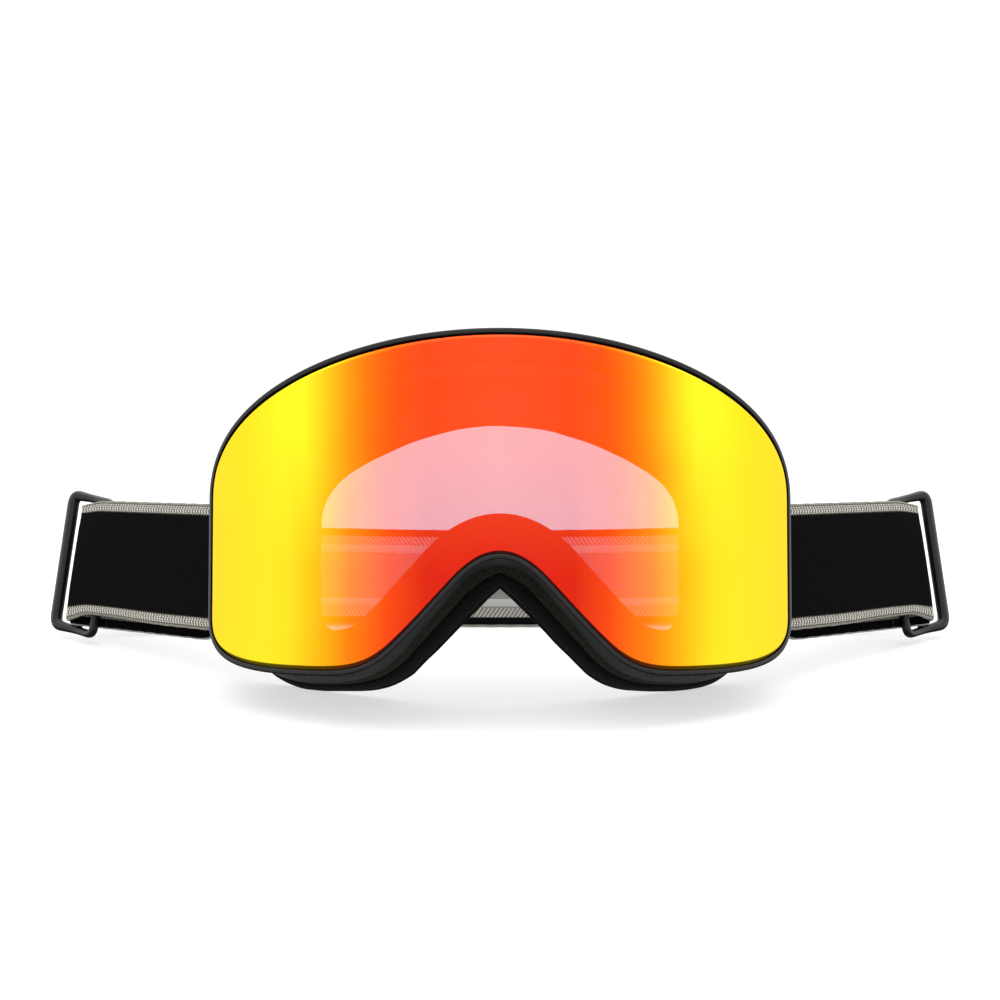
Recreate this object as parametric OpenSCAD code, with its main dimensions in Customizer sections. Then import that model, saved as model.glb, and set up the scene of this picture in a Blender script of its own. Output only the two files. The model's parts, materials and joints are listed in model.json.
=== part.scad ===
// Ski goggles with a cylindrical mirrored double lens on a magnetic carrier, a flexible face frame
// with vented walls, layered face foam, and an elastic strap with two sliding adjusters.
//
// The goggle body is drawn in the lens frame (origin at the front of the lens, +Y towards the
// wearer, +Z up) and then leans back onto its foam. The strap is drawn in the standing frame.

/* [Lens unit] */
// Radius of the cylindrical outer lens
lens_r = 115; // [112:1:119]
// Thickness of the outer lens
lens_t = 1.5; // [1.2:0.1:1.8]
// Thickness of the inner anti-fog lens
inner_t = 0.8; // [0.6:0.1:1.1]
// Air gap between the two lenses
lens_gap = 4.0; // [3.5:0.25:4.5]
// Width of the black rim that shows around the lens
rim_w = 1.7; // [1.5:0.1:2.2]
// Depth of the magnet flange behind the lens
flange_t = 3.0; // [2.5:0.25:3.25]
// Number of magnets on each half of the rim
magnets_per_side = 4; // [2:1:4]

/* [Face frame] */
// Thickness of the hard ring that the lens unit snaps to
ring_t = 3.4; // [3:0.2:3.6]
// Change in the size of the opening in the face foam, all round
opening_grow = 0; // [-2:0.5:2]
// Wall thickness of the flexible frame
wall_t = 2.4; // [2:0.2:3]
// Angle at which the goggles lean back as they stand
lean = 12; // [10:1:14]

/* [Strap] */
// Width of the elastic strap
strap_w = 40; // [38:1:40]
// Thickness of the elastic strap
strap_t = 1.6; // [1.4:0.1:1.8]
// Distance from the ear bar to the bar of the adjuster that the strap end is sewn round
adjuster_u = 84; // [74:0.2:86]
// Backward lean of the strap at the middle of the back
back_lean = 41; // [32:1:43]

/* [Hidden] */
$fn = 48;

// Heights and depths of the standing goggles
lift = 66.78;         // lens centre above the surface
mid_y = 79.164;        // moves the origin to the middle of the depth
body_gap = 0.3;       // play between the lens unit and the frame

// Radii of the stacked curved layers behind the lens
lens_back_r = lens_r - lens_t;
inner_front_r = lens_back_r - lens_gap;
flange_back_r = lens_back_r - flange_t;
ring_front_r = flange_back_r - body_gap;
ring_back_r = ring_front_r - ring_t;

// Half outlines, each a chain of cubic Bezier curves from the top centre round to the nose
lens_half = [
    [[0, 47.8], [30, 47.8], [56, 40.5], [71, 30.5]],
    [[71, 30.5], [78, 25.8], [87.4, 17.5], [87.4, 3]],
    [[87.4, 3], [87.4, -9], [87.4, -21], [87.4, -33]],
    [[87.4, -33], [87.4, -44], [80, -47.6], [60, -48.4]],
    [[60, -48.4], [46, -49], [40, -48.8], [33, -42.8]],
    [[33, -42.8], [26.7, -37.1], [20.3, -29.8], [14, -23]],
    [[14, -23], [9, -17.6], [4.5, -15.2], [0, -15.2]]];
flange_half = [
    [[0, 42], [28, 42], [50, 36.5], [65, 27]],
    [[65, 27], [74, 21.3], [80, 12], [80, 0]],
    [[80, 0], [80, -10], [80, -20], [80, -30]],
    [[80, -30], [80, -45], [72, -53], [56, -53]],
    [[56, -53], [44, -53], [36, -52], [28, -43]],
    [[28, -43], [22.7, -36.8], [17.3, -30.6], [12, -24.5]],
    [[12, -24.5], [8, -19.8], [4, -18], [0, -18]]];
face_half = [
    [[0, 39], [26, 39], [48, 34], [62, 25]],
    [[62, 25], [71, 19], [76, 10], [76, -2]],
    [[76, -2], [76, -11], [76, -21], [76, -30]],
    [[76, -30], [76, -48], [70, -56], [54, -56]],
    [[54, -56], [42, -56], [34, -56.5], [26, -50.5]],
    [[26, -50.5], [20.7, -45.2], [15.3, -39.8], [10, -34.5]],
    [[10, -34.5], [7, -31.5], [3, -27], [0, -24.6]]];
opening_half = [
    [[0, 25.4], [16, 25.4], [31, 19.8], [43.5, 13.2]],
    [[43.5, 13.2], [50.4, 9.2], [56, 4.4], [56, -4.6]],
    [[56, -4.6], [56, -12], [56, -19], [56, -26]],
    [[56, -26], [56, -34], [54.5, -38], [49, -38]],
    [[49, -38], [44.5, -38], [41, -34.5], [36.5, -30]],
    [[36.5, -30], [31.5, -25.5], [27, -21.5], [22.5, -17]],
    [[22.5, -17], [15, -9.5], [8, -4.6], [0, -4.6]]];
steps = [14, 10, 4, 10, 8, 5, 8];   // points along each curve of a half outline

// --- outlines ---------------------------------------------------------------------------------

function cubic(c, t) = pow(1 - t, 3) * c[0] + 3 * t * pow(1 - t, 2) * c[1]
    + 3 * t * t * (1 - t) * c[2] + t * t * t * c[3];
function half_points(curves) =
    [for (k = [0 : len(curves) - 1]) for (i = [0 : steps[k] - 1]) cubic(curves[k], i / steps[k])];
function whole(curves) = let (h = half_points(curves), n = len(h), last = curves[len(curves) - 1][3])
    concat(h, [last], [for (i = [n - 1 : -1 : 1]) [-h[i][0], h[i][1]]]);
// An outline laid flat from the lens cylinder, and wrapped back round it
function unrolled(p) = [for (q = p) [lens_r * asin(q[0] / lens_r) * PI / 180, q[1]]];
function rolled(p) = [for (q = p) [lens_r * sin(q[0] / lens_r * 180 / PI), q[1]]];
// Points of an outline moved inwards by d, square to it and along the curved surface
function inset(p, d) = let (n = len(p), f = unrolled(p)) rolled([for (i = [0 : n - 1])
    let (t = f[(i + 1) % n] - f[(i + n - 1) % n]) f[i] + d * [t[1], -t[0]] / norm(t)]);
function smooth(t) = t * t * (3 - 2 * t);
function mix(a, b, t) = [for (i = [0 : len(a) - 1]) (1 - t) * a[i] + t * b[i]];

lens_line = whole(lens_half);
flange_line = whole(flange_half);
face_line = whole(face_half);
opening_line = whole(opening_half);
count = len(lens_line);

// Depth of the curved layer of radius r, and of the foam at share t of its thickness
function lens_y(x, r) = lens_r - sqrt(r * r - x * x);
function foam_y(x, t) = (1 - t) * (26 + 0.0055 * x * x) + t * (44 + 0.0050 * x * x);

// Closed loops in space: on a lens layer, and at share t of the foam
function lens_loop(d, r) = [for (p = inset(lens_line, d)) [p[0], lens_y(p[0], r), p[1]]];
function foam_loop(d, t, dy = 0) =
    [for (p = inset(mix(flange_line, face_line, t), d)) [p[0], foam_y(p[0], t) + dy, p[1]]];
function opening_loop(d, t, dy = 0) =
    [for (p = inset(opening_line, -opening_grow - d)) [p[0], foam_y(p[0], t) + dy, p[1]]];

// --- solids from loops ------------------------------------------------------------------------

function quad(a, b, c, d) = [[c, b, a], [d, c, a]];
function flat(list) = [for (l = list) each l];

// A closed ring whose cross-section has one corner on each loop. The first side is split along the
// other diagonal, so that it lies flush on the last side of the ring in front of it.
module ring_solid(loops) {
    k = len(loops);
    n = len(loops[0]);
    polyhedron(flat(loops), flat([for (j = [0 : k - 1]) for (i = [0 : n - 1])
        let (a = j * n + i, b = ((j + 1) % k) * n + i,
             c = ((j + 1) % k) * n + (i + 1) % n, d = j * n + (i + 1) % n)
        j == 0 ? quad(b, c, d, a) : quad(a, b, c, d)]));
}

// An open strip with one four-cornered section for each entry
module strip_solid(sections) {
    n = len(sections);
    polyhedron(flat(sections), concat(
        flat([for (i = [0 : n - 2]) for (j = [0 : 3])
            let (a = 4 * i + j, b = 4 * i + (j + 1) % 4)
            j < 2 ? quad(a, b, b + 4, a + 4) : quad(b, b + 4, a + 4, a)]),
        quad(3, 2, 1, 0),
        quad(4 * n - 4, 4 * n - 3, 4 * n - 2, 4 * n - 1)));
}

// Sections of part of a ring, from point a to point b of its loops
function part_of(loops, a, b) = [for (i = [a : b]) [for (l = loops) l[(i + count) % count]]];

// --- frames -----------------------------------------------------------------------------------

module standing() { translate([0, -mid_y, lift]) children(); }
module leaning() { standing() rotate([-lean, 0, 0]) children(); }

// --- lens unit --------------------------------------------------------------------------------

module curved_plate(d, outer_r, inner_r) {
    intersection() {
        translate([0, 75, 0]) rotate([90, 0, 0])
            linear_extrude(80) polygon(inset(lens_line, d));
        translate([0, lens_r, 0]) difference() {
            cylinder(h = 120, r = outer_r, center = true);
            cylinder(h = 130, r = inner_r, center = true);
        }
    }
}

gasket_out = 8;    // inset of the gasket's outer edge, and of the inner lens
gasket_in = 11.5;  // inset of the gasket's inner edge
flange_in = 7;     // inset of the carrier flange's inner edge
lip_gap = 0.15;    // play between the lens edge and the rim
lip_proud = 0.35;  // rim in front of the lens face
rim_step = 0.8;    // how far each layer behind the rim is set in from it

module outer_lens() { color("orangered") leaning() curved_plate(0, lens_r, lens_back_r); }

module inner_lens() {
    color("mistyrose") leaning()
        curved_plate(gasket_out, inner_front_r, inner_front_r - inner_t);
}

module lens_gasket() {
    color("dimgray") leaning() ring_solid([
        lens_loop(gasket_out, lens_back_r - seal), lens_loop(gasket_in, lens_back_r - seal),
        lens_loop(gasket_in, inner_front_r + seal), lens_loop(gasket_out, inner_front_r + seal)]);
}

seal = 0.05;       // gap that keeps stacked layers from sharing a face

module lens_carrier() {
    color("black") leaning() difference() {
        ring_solid([
            lens_loop(-rim_w, lens_r + lip_proud), lens_loop(-lip_gap, lens_r + lip_proud),
            lens_loop(-lip_gap, lens_back_r - seal), lens_loop(flange_in, lens_back_r - seal),
            lens_loop(flange_in, flange_back_r), lens_loop(rim_step - rim_w, flange_back_r)]);
        magnets(flange_back_r - 1, magnet_t + 1.3, magnet_r + seal);
    }
}

// Where the magnets sit on each half of the rim
magnet_at = [0.1, 0.3, 0.51, 0.71];   // shares of the half outline
magnet_r = 1.7;
magnet_t = 1.6;
magnet_in = 2.6;   // inset of the magnets' centres
sunk = 0.15;       // how far the magnets' faces lie below the surface they are set in

// Discs of radius r whose rear faces lie on the cylinder of radius rear_r
module magnets(rear_r, thick, r = magnet_r) {
    line = inset(lens_line, magnet_in);
    for (i = [0 : magnets_per_side - 1]) for (side = [-1, 1]) {
        p = line[round(magnet_at[i] * count / 2)];
        translate([0, lens_r, p[1]]) rotate([0, 0, side * asin(p[0] / lens_back_r)])
            translate([0, -rear_r, 0]) rotate([90, 0, 0]) cylinder(h = thick, r = r);
    }
}

module carrier_magnets() { color("silver") leaning() magnets(flange_back_r + sunk, magnet_t); }

// --- face frame -------------------------------------------------------------------------------

ring_in = 6;       // inset of the front ring's inner edge

module front_ring() {
    color("black") leaning() difference() {
        ring_solid([
            lens_loop(rim_step - rim_w, ring_front_r), lens_loop(ring_in, ring_front_r),
            lens_loop(ring_in, ring_back_r), lens_loop(rim_step - rim_w, ring_back_r)]);
        magnets(ring_front_r - magnet_t - sunk - seal, magnet_t + 1, magnet_r + seal);
    }
}

module frame_magnets() { color("silver") leaning() magnets(ring_front_r - magnet_t - sunk, magnet_t); }

frame_recess = 1;  // how far the frame's edge lies behind the edge of the foam, at the opening

module frame_shell() {
    ring_solid([
        lens_loop(0, ring_back_r - seal), lens_loop(wall_t, ring_back_r - seal),
        foam_loop(wall_t, 0, -wall_t), opening_loop(frame_recess, 0, -wall_t),
        opening_loop(frame_recess, 0), foam_loop(0, 0)]);
}

// The body's outer wall and first foam layer, thick enough to trim whatever joins the wall
trim_in = 8;
module body_wall() {
    leaning() ring_solid([
        lens_loop(-seal, ring_back_r), lens_loop(trim_in, ring_back_r), foam_loop(trim_in, 0),
        foam_loop(trim_in, 0.5), foam_loop(-seal, 0.5), foam_loop(-seal, 0)]);
}

// Vent slots, by the x of their centres
top_vents = [-42, -21, 0, 21, 42];
bottom_vents = [48, 62];
top_slot = [15, 6, 16];
bottom_slot = [10, 6, 12];
vent_turn = 0.344;     // turn of a top slot with x, so that it stays square to the wall

module vent_slots() {
    for (x = top_vents)
        translate([x, 13 + 0.004 * x * x, 43 - 0.0045 * x * x]) rotate([0, vent_turn * x, 0])
            cube(top_slot, center = true);
    for (x = bottom_vents) for (side = [-1, 1])
        translate([side * x, 18.5 + 0.0042 * x * x, -51]) cube(bottom_slot, center = true);
}

module main_frame() {
    color("#1c1c1e") leaning() difference() {
        frame_shell();
        vent_slots();
    }
}

// Thin foam that backs the vents, just inside the wall
module vent_foam(a, b) {
    strip_solid(part_of([
        lens_loop(wall_t + 0.2, ring_back_r - 0.6), lens_loop(wall_t + 2.2, ring_back_r - 0.6),
        foam_loop(wall_t + 2.4, 0, -wall_t - 0.4), foam_loop(wall_t + 0.4, 0, -wall_t - 0.4)], a, b));
}

module vent_foam_top() { color("#2b2b2b") leaning() vent_foam(-15, 15); }

module vent_foam_bottom() {
    color("#2b2b2b") leaning() {
        vent_foam(35, 44);
        vent_foam(count - 44, count - 35);
    }
}

// --- foam -------------------------------------------------------------------------------------

foam_cuts = [0, 0.38, 0.92, 1];   // shares of the foam's thickness where one layer ends

module foam_layer(k, recess = 0) {
    a = foam_cuts[k];
    b = foam_cuts[k + 1];
    ring_solid([
        foam_loop(0, a, seal), opening_loop(recess, a, seal), opening_loop(0, b), foam_loop(0, b)]);
}

module foam_base() { color("#2e2c22") leaning() foam_layer(0, frame_recess); }
module foam_comfort() { color("#161616") leaning() foam_layer(1); }

// The fleece is pressed flat where the goggles rest on it
module fleece_lining() {
    color("#0c0c0c") difference() {
        leaning() foam_layer(2);
        translate([0, 0, -10]) cube([300, 300, 20], center = true);
    }
}

// --- strap ------------------------------------------------------------------------------------

ear = [85.5, 62, -31.3];    // centre of the right ear bar, from the lens centre
yaw = 47;               // direction of the strap as it leaves the ear
pitch = 5.3;
roll = -15;
bar_r = 2.4;            // ear bar
slack = 0.3;            // gap between the strap and what it runs round
wrap_r = bar_r + slack + strap_t / 2;

// Axes of the right side: u along the strap away from the ear, v through it towards the head
// and h up its width
u_axis = [cos(yaw) * cos(pitch), sin(yaw) * cos(pitch), -sin(pitch)];
h_flat = [cos(yaw) * sin(pitch), sin(yaw) * sin(pitch), cos(pitch)];
v_flat = [-sin(yaw), cos(yaw), 0];
v_axis = cos(roll) * v_flat + sin(roll) * h_flat;
h_axis = cos(roll) * h_flat - sin(roll) * v_flat;
function side_point(u, v) = ear + u * u_axis + v * v_axis;

module on_side(side) {
    standing() mirror([side < 0 ? 1 : 0, 0, 0])
        translate(ear) rotate([0, 0, yaw]) rotate([0, pitch, 0]) rotate([roll, 0, 0]) children();
}

// Adjuster bars in the side frame: bar a is furthest from the ear, bar b carries the sewn end of
// the strap, and bar c is nearest the ear
bar_a_r = 2.1;
bar_b_r = 1.3;
bar_c_r = 1.5;
sewn_r = bar_b_r + 0.15 + strap_t / 2;           // strap line round bar b
turn_r = sewn_r + strap_t + slack;               // strap line over the sewn end
bar_b = [adjuster_u, turn_r - wrap_r];
bar_a = bar_b + [11.2, -2.4];
bar_c = bar_b - [10.2, 0.3];
turn_angle = 118;       // turn of the strap over bar b, towards the back of the head

function arc(c, r, a, b, n) = [for (i = [0 : n]) let (t = a + (b - a) * i / n)
    c + r * [cos(t), sin(t)]];

// Centre line of the strap on one side, in u and v, from behind the ear bar round to the turn
side_line = concat(
    arc([0, 0], wrap_r, 90, 270, 8),
    [for (u = [adjuster_u / 4 : adjuster_u / 4 : adjuster_u - 1]) [u, -wrap_r]],
    arc(bar_b, turn_r, -90, turn_angle - 90, 9));

// One strap section: corners from its centre, its width axis and its thickness axis
function section(c, w, n, width = strap_w, thick = strap_t) = [
    c - w * width / 2 + n * thick / 2, c + w * width / 2 + n * thick / 2,
    c + w * width / 2 - n * thick / 2, c - w * width / 2 - n * thick / 2];
function unit(a) = a / norm(a);
function along(line, i) = let (n = len(line) - 1) unit(line[min(i + 1, n)] - line[max(i - 1, 0)]);
function side_section(line, i, width = strap_w, thick = strap_t) =
    let (t = along(line, i))
    section(side_point(line[i][0], line[i][1]), h_axis,
            -(t[1] * u_axis - t[0] * v_axis), width, thick);

// Back of the strap: from the turn to the middle of the back, where its lower edge is at rest_y
rest_y = 139.5;
turn_end = side_line[len(side_line) - 1];
turn_dir = let (n = len(side_line)) unit(side_line[n - 1] - side_line[n - 2]);
back_axis = [0, sin(back_lean), cos(back_lean)];
back_mid = [0, rest_y, -lift + sin(back_lean) * strap_t / 2] + back_axis * strap_w / 2;
back_start = side_point(turn_end[0], turn_end[1]);
back_tan = turn_dir[0] * u_axis + turn_dir[1] * v_axis;
back_curve = [back_start, back_start + 34 * back_tan, back_mid + [58, 0, 0], back_mid];
back_steps = 24;
back_settles = 0.5;      // share of the back run over which the strap twists to its full lean

function back_section(i, width = strap_w, thick = strap_t, shift = 0, rise = 0) =
    let (t = i / back_steps, c = cubic(back_curve, t),
         d = unit(cubic(back_curve, min(t + 0.02, 1)) - cubic(back_curve, max(t - 0.02, 0))),
         k = smooth(min(1, t / back_settles)), w0 = (1 - k) * h_axis + k * back_axis,
         w = unit(w0 - (w0 * d) * d), n = cross(w, d))
    section(c + shift * n + rise * w, w, n, width, thick);

split = 9;              // back section where the side run ends and the back run begins

// The same sections on the left, listed in the opposite order so that they face the right way
function left_of(list) = [for (i = [len(list) - 1 : -1 : 0]) [for (p = list[i]) [-p[0], p[1], p[2]]]];

side_run = concat(
    [for (i = [0 : len(side_line) - 2]) side_section(side_line, i)],
    [for (i = [0 : split]) back_section(i)]);

module strap_side_left() { color("#111111") standing() strip_solid(left_of(side_run)); }
module strap_side_right() { color("#111111") standing() strip_solid(side_run); }

module across_back(half) {
    strip_solid(concat(half, left_of([for (i = [0 : len(half) - 2]) half[i]])));
}

module strap_back() {
    color("#111111") standing() across_back([for (i = [split : back_steps]) back_section(i)]);
}

// Two silicone stripes printed on the inside of the back of the strap
stripe_w = 3.6;
stripe_rise = 11;
stripe_t = 0.3;
stripe_from = 13;       // back section where the stripes start

module grip_stripes() {
    color("dimgray") standing() for (rise = [-stripe_rise, stripe_rise])
        across_back([for (i = [stripe_from : back_steps])
            back_section(i, stripe_w, stripe_t, (strap_t + stripe_t) / 2 + seal, rise)]);
}

// Return run of the strap, from behind the ear bar to the front of bar b, passing behind bar c
return_from = 0.4;                  // where the return run leaves the ear bar
return_u = adjuster_u - 15;         // where the return run meets the sewn end
under_c = bar_c[1] + bar_c_r + 0.2 + strap_t / 2;
return_drop = 3.0;                  // the return run hangs lower than the outer one

module strip_in_side(side, line, width, drop) {
    n = len(line) - 1;
    on_side(side) strip_solid([for (i = [0 : n]) let (t = along(line, i), m = [t[1], -t[0]])
        [for (q = [[1, -1], [-1, -1], [-1, 1], [1, 1]])
            [line[i][0] - q[1] * m[0] * strap_t / 2, line[i][1] - q[1] * m[1] * strap_t / 2,
             q[0] * width / 2 - drop]]]);
}

module strap_return(side) {
    line = [for (i = [0 : 8]) let (t = i / 8)
        [return_from + (return_u - return_from) * t, wrap_r + (under_c - wrap_r) * smooth(t)]];
    color("#111111") strip_in_side(side, line, strap_w, return_drop);
}
module strap_return_left() { strap_return(-1); }
module strap_return_right() { strap_return(1); }

// The end of the strap: behind bar c, over the front of bar b, round it and back on itself
flap_u = adjuster_u - 27;           // where the folded end stops
sewn_line = concat(
    [[return_u + 0.1, under_c], [bar_c[0], under_c], bar_b + [-5.2, 0]],
    arc(bar_b, sewn_r, -115, 90, 8),
    [[bar_c[0] + 3, under_c + strap_t + 0.15], [bar_c[0] - 3, under_c + strap_t + 0.1],
     [flap_u, under_c + strap_t + 0.1]]);

module sewn_end(side) { color("#111111") strip_in_side(side, sewn_line, strap_w, return_drop); }
module sewn_end_left() { sewn_end(-1); }
module sewn_end_right() { sewn_end(1); }

// Bar tacks: rows of thread through the folded end
tack_u = flap_u + 3;
tack = [1.2, 0.3, 5];
tack_rows = [-16, -8, 0, 8, 16];

module bartack(side) {
    color("black") on_side(side) for (h = tack_rows)
        translate([tack_u, under_c + 1.5 * strap_t + 0.3, h - return_drop])
            cube(tack, center = true);
}
module bartack_left() { bartack(-1); }
module bartack_right() { bartack(1); }

// --- ears and adjusters -----------------------------------------------------------------------

window_h = strap_w + 3.2;   // inside height of the ear and adjuster windows
arm_h = 2.6;

module post(at, r, h) { translate([at[0], at[1], 0]) cylinder(h = h, r = r, center = true); }

// Outline of a flat band of half width r along a few points, with chamfered ends
function band(p, r) = let (n = len(p) - 1, d = [for (i = [0 : n - 1]) unit(p[i + 1] - p[i])],
        m = [for (i = [0 : n]) let (t = unit(d[max(i - 1, 0)] + d[min(i, n - 1)])) [t[1], -t[0]]])
    concat([for (i = [0 : n]) p[i] + r * m[i]],
        [p[n] + r * (d[n - 1] + 0.4 * m[n]), p[n] + r * (d[n - 1] - 0.4 * m[n])],
        [for (i = [n : -1 : 0]) p[i] - r * m[i]],
        [p[0] - r * (d[0] + 0.4 * m[0]), p[0] - r * (d[0] - 0.4 * m[0])]);

// Flat arms along points of the side plane, above and below the window
module arms(points, r) {
    for (s = [-1, 1]) translate([0, 0, s * (window_h + arm_h) / 2])
        linear_extrude(arm_h, center = true) polygon(band(points, r));
}

ear_root = [-9.5, -4.8];    // where the ear meets the frame wall
ear_root_size = [4.8, 6.4];
ear_arm_r = 2.7;            // half widths of the ears' and adjusters' arms
adjuster_arm_r = 1.7;

module strap_ear(side) {
    color("#1c1c1e") difference() {
        on_side(side) {
            post([0, 0], bar_r, window_h + 1);
            arms([[0, 0], ear_root], ear_arm_r);
            translate(ear_root)
                cube([ear_root_size[0], ear_root_size[1], window_h + 2 * arm_h], center = true);
        }
        body_wall();
    }
}
module ear_left() { strap_ear(-1); }
module ear_right() { strap_ear(1); }

// The adjuster hangs a little low, and its arms slope down from bar a towards the ear
arm_tilt = 6;
adjuster_drop = 0.7;

module adjuster(side) {
    color("#1a1b1c") on_side(side) translate([bar_a[0], 0, -adjuster_drop]) {
        for (bar = [[bar_a, bar_a_r], [bar_b, bar_b_r], [bar_c, bar_c_r]])
            let (from_a = bar[0] - [bar_a[0], 0])
            translate([0, 0, from_a[0] * tan(arm_tilt)]) post(from_a, bar[1], window_h + 1);
        rotate([0, -arm_tilt, 0]) arms([for (b = [bar_a, bar_b, bar_c]) b - [bar_a[0], 0]], adjuster_arm_r);
    }
}
module adjuster_left() { adjuster(-1); }
module adjuster_right() { adjuster(1); }

// --- nodes ------------------------------------------------------------------------------------

outer_lens();
inner_lens();
lens_gasket();
lens_carrier();
carrier_magnets();
front_ring();
frame_magnets();
main_frame();
vent_foam_top();
vent_foam_bottom();
foam_base();
foam_comfort();
fleece_lining();
ear_left();
ear_right();
strap_back();
strap_side_left();
strap_side_right();
grip_stripes();
strap_return_left();
strap_return_right();
sewn_end_left();
sewn_end_right();
bartack_left();
bartack_right();
adjuster_left();
adjuster_right();
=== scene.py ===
"""Ski goggles: the looks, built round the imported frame.

Shapes are worked out in millimetres and turned into metres as each mesh is made. The body of the
goggles is drawn in the lens frame (origin at the front of the lens, +Y towards the wearer, +Z up)
and then leans back onto its foam; the strap is drawn in the row frame.
"""
import json
import math

import bmesh
import bpy
import numpy as np
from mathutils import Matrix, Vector


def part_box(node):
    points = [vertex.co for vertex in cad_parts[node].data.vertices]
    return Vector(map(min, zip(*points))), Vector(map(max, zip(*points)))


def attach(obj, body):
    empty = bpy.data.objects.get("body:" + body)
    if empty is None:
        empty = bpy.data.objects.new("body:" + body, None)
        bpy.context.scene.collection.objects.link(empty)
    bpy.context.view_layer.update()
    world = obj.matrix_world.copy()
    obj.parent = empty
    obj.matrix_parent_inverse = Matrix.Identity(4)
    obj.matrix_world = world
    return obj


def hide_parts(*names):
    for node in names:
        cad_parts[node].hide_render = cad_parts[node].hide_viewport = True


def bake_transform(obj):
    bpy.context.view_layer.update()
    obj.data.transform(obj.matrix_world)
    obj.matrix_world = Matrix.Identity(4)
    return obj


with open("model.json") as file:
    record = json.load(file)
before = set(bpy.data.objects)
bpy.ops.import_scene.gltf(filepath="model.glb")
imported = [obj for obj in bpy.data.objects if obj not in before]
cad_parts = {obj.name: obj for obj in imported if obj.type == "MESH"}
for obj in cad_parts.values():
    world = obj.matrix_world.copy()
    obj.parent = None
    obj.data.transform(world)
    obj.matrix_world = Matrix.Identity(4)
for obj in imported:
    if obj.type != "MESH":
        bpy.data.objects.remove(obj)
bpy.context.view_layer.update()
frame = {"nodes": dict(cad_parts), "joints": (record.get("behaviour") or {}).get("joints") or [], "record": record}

MM = 0.001
MOUNTS = {m["name"]: m for m in frame["record"]["mounts"]}
JOINTS = {j["name"]: j for j in frame["joints"]}

# ---------------------------------------------------------------------------------------------
# Design values, as in the CAD source, in millimetres and degrees
# ---------------------------------------------------------------------------------------------
LENS_R, LENS_T, LENS_GAP, INNER_T = 115.0, 1.5, 4.0, 0.8
RIM_W, RIM_STEP, FLANGE_T, RING_T, WALL_T = 1.7, 0.8, 3.0, 3.4, 2.4
BODY_GAP, LIP_GAP, LIP_PROUD, SEAL = 0.3, 0.15, 0.35, 0.05
LEAN = 12.0
LENS_BACK_R = LENS_R - LENS_T
INNER_FRONT_R = LENS_BACK_R - LENS_GAP
FLANGE_BACK_R = LENS_BACK_R - FLANGE_T
RING_FRONT_R = FLANGE_BACK_R - BODY_GAP
RING_BACK_R = RING_FRONT_R - RING_T
FOAM_CUTS = (0.0, 0.38, 0.92, 1.0)

LENS_HALF = [
    [(0, 47.8), (30, 47.8), (56, 40.5), (71, 30.5)],
    [(71, 30.5), (78, 25.8), (87.4, 17.5), (87.4, 3)],
    [(87.4, 3), (87.4, -9), (87.4, -21), (87.4, -33)],
    [(87.4, -33), (87.4, -44), (80, -47.6), (60, -48.4)],
    [(60, -48.4), (46, -49), (40, -48.8), (33, -42.8)],
    [(33, -42.8), (26.7, -37.1), (20.3, -29.8), (14, -23)],
    [(14, -23), (9, -17.6), (4.5, -15.2), (0, -15.2)]]
FLANGE_HALF = [
    [(0, 42), (28, 42), (50, 36.5), (65, 27)],
    [(65, 27), (74, 21.3), (80, 12), (80, 0)],
    [(80, 0), (80, -10), (80, -20), (80, -30)],
    [(80, -30), (80, -45), (72, -53), (56, -53)],
    [(56, -53), (44, -53), (36, -52), (28, -43)],
    [(28, -43), (22.7, -36.8), (17.3, -30.6), (12, -24.5)],
    [(12, -24.5), (8, -19.8), (4, -18), (0, -18)]]
FACE_HALF = [
    [(0, 39), (26, 39), (48, 34), (62, 25)],
    [(62, 25), (71, 19), (76, 10), (76, -2)],
    [(76, -2), (76, -11), (76, -21), (76, -30)],
    [(76, -30), (76, -48), (70, -56), (54, -56)],
    [(54, -56), (42, -56), (34, -56.5), (26, -50.5)],
    [(26, -50.5), (20.7, -45.2), (15.3, -39.8), (10, -34.5)],
    [(10, -34.5), (7, -31.5), (3, -27), (0, -24.6)]]
OPENING_HALF = [
    [(0, 25.4), (16, 25.4), (31, 19.8), (43.5, 13.2)],
    [(43.5, 13.2), (50.4, 9.2), (56, 4.4), (56, -4.6)],
    [(56, -4.6), (56, -12), (56, -19), (56, -26)],
    [(56, -26), (56, -34), (54.5, -38), (49, -38)],
    [(49, -38), (44.5, -38), (41, -34.5), (36.5, -30)],
    [(36.5, -30), (31.5, -25.5), (27, -21.5), (22.5, -17)],
    [(22.5, -17), (15, -9.5), (8, -4.6), (0, -4.6)]]
STEPS = (42, 30, 14, 30, 24, 16, 26)      # points along each curve of a half outline

STRAP_W, STRAP_T = 40.0, 1.6
EAR_BAR_R, SLACK = 2.4, 0.3
BAR_A_R, BAR_B_R, BAR_C_R = 2.1, 1.3, 1.5
ADJUSTER_U = 84.0
BAR_A_STEP, BAR_C_STEP = (11.2, -2.4), (-10.2, -0.3)   # from bar b, along and through the strap
TURN = 118.0
BACK_LEAN = 41.0
BACK_SETTLES = 0.5
BACK_SPLIT = 0.375
RETURN_DROP = 3.0
WINDOW_H, ARM_H = STRAP_W + 3.2, 2.6
ARM_TILT, ADJUSTER_DROP = 6.0, 0.7     # slope of the adjuster's arms, and how far it hangs down
RIGID_U = ADJUSTER_U - 16      # from here on, the turn piece takes over from the front run


# ---------------------------------------------------------------------------------------------
# Outlines and loops
# ---------------------------------------------------------------------------------------------
def cubic(points, t):
    a, b, c, d = (np.array(p, float) for p in points)
    t = np.atleast_1d(t)[:, None]
    return (1 - t) ** 3 * a + 3 * t * (1 - t) ** 2 * b + 3 * t * t * (1 - t) * c + t ** 3 * d


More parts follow.
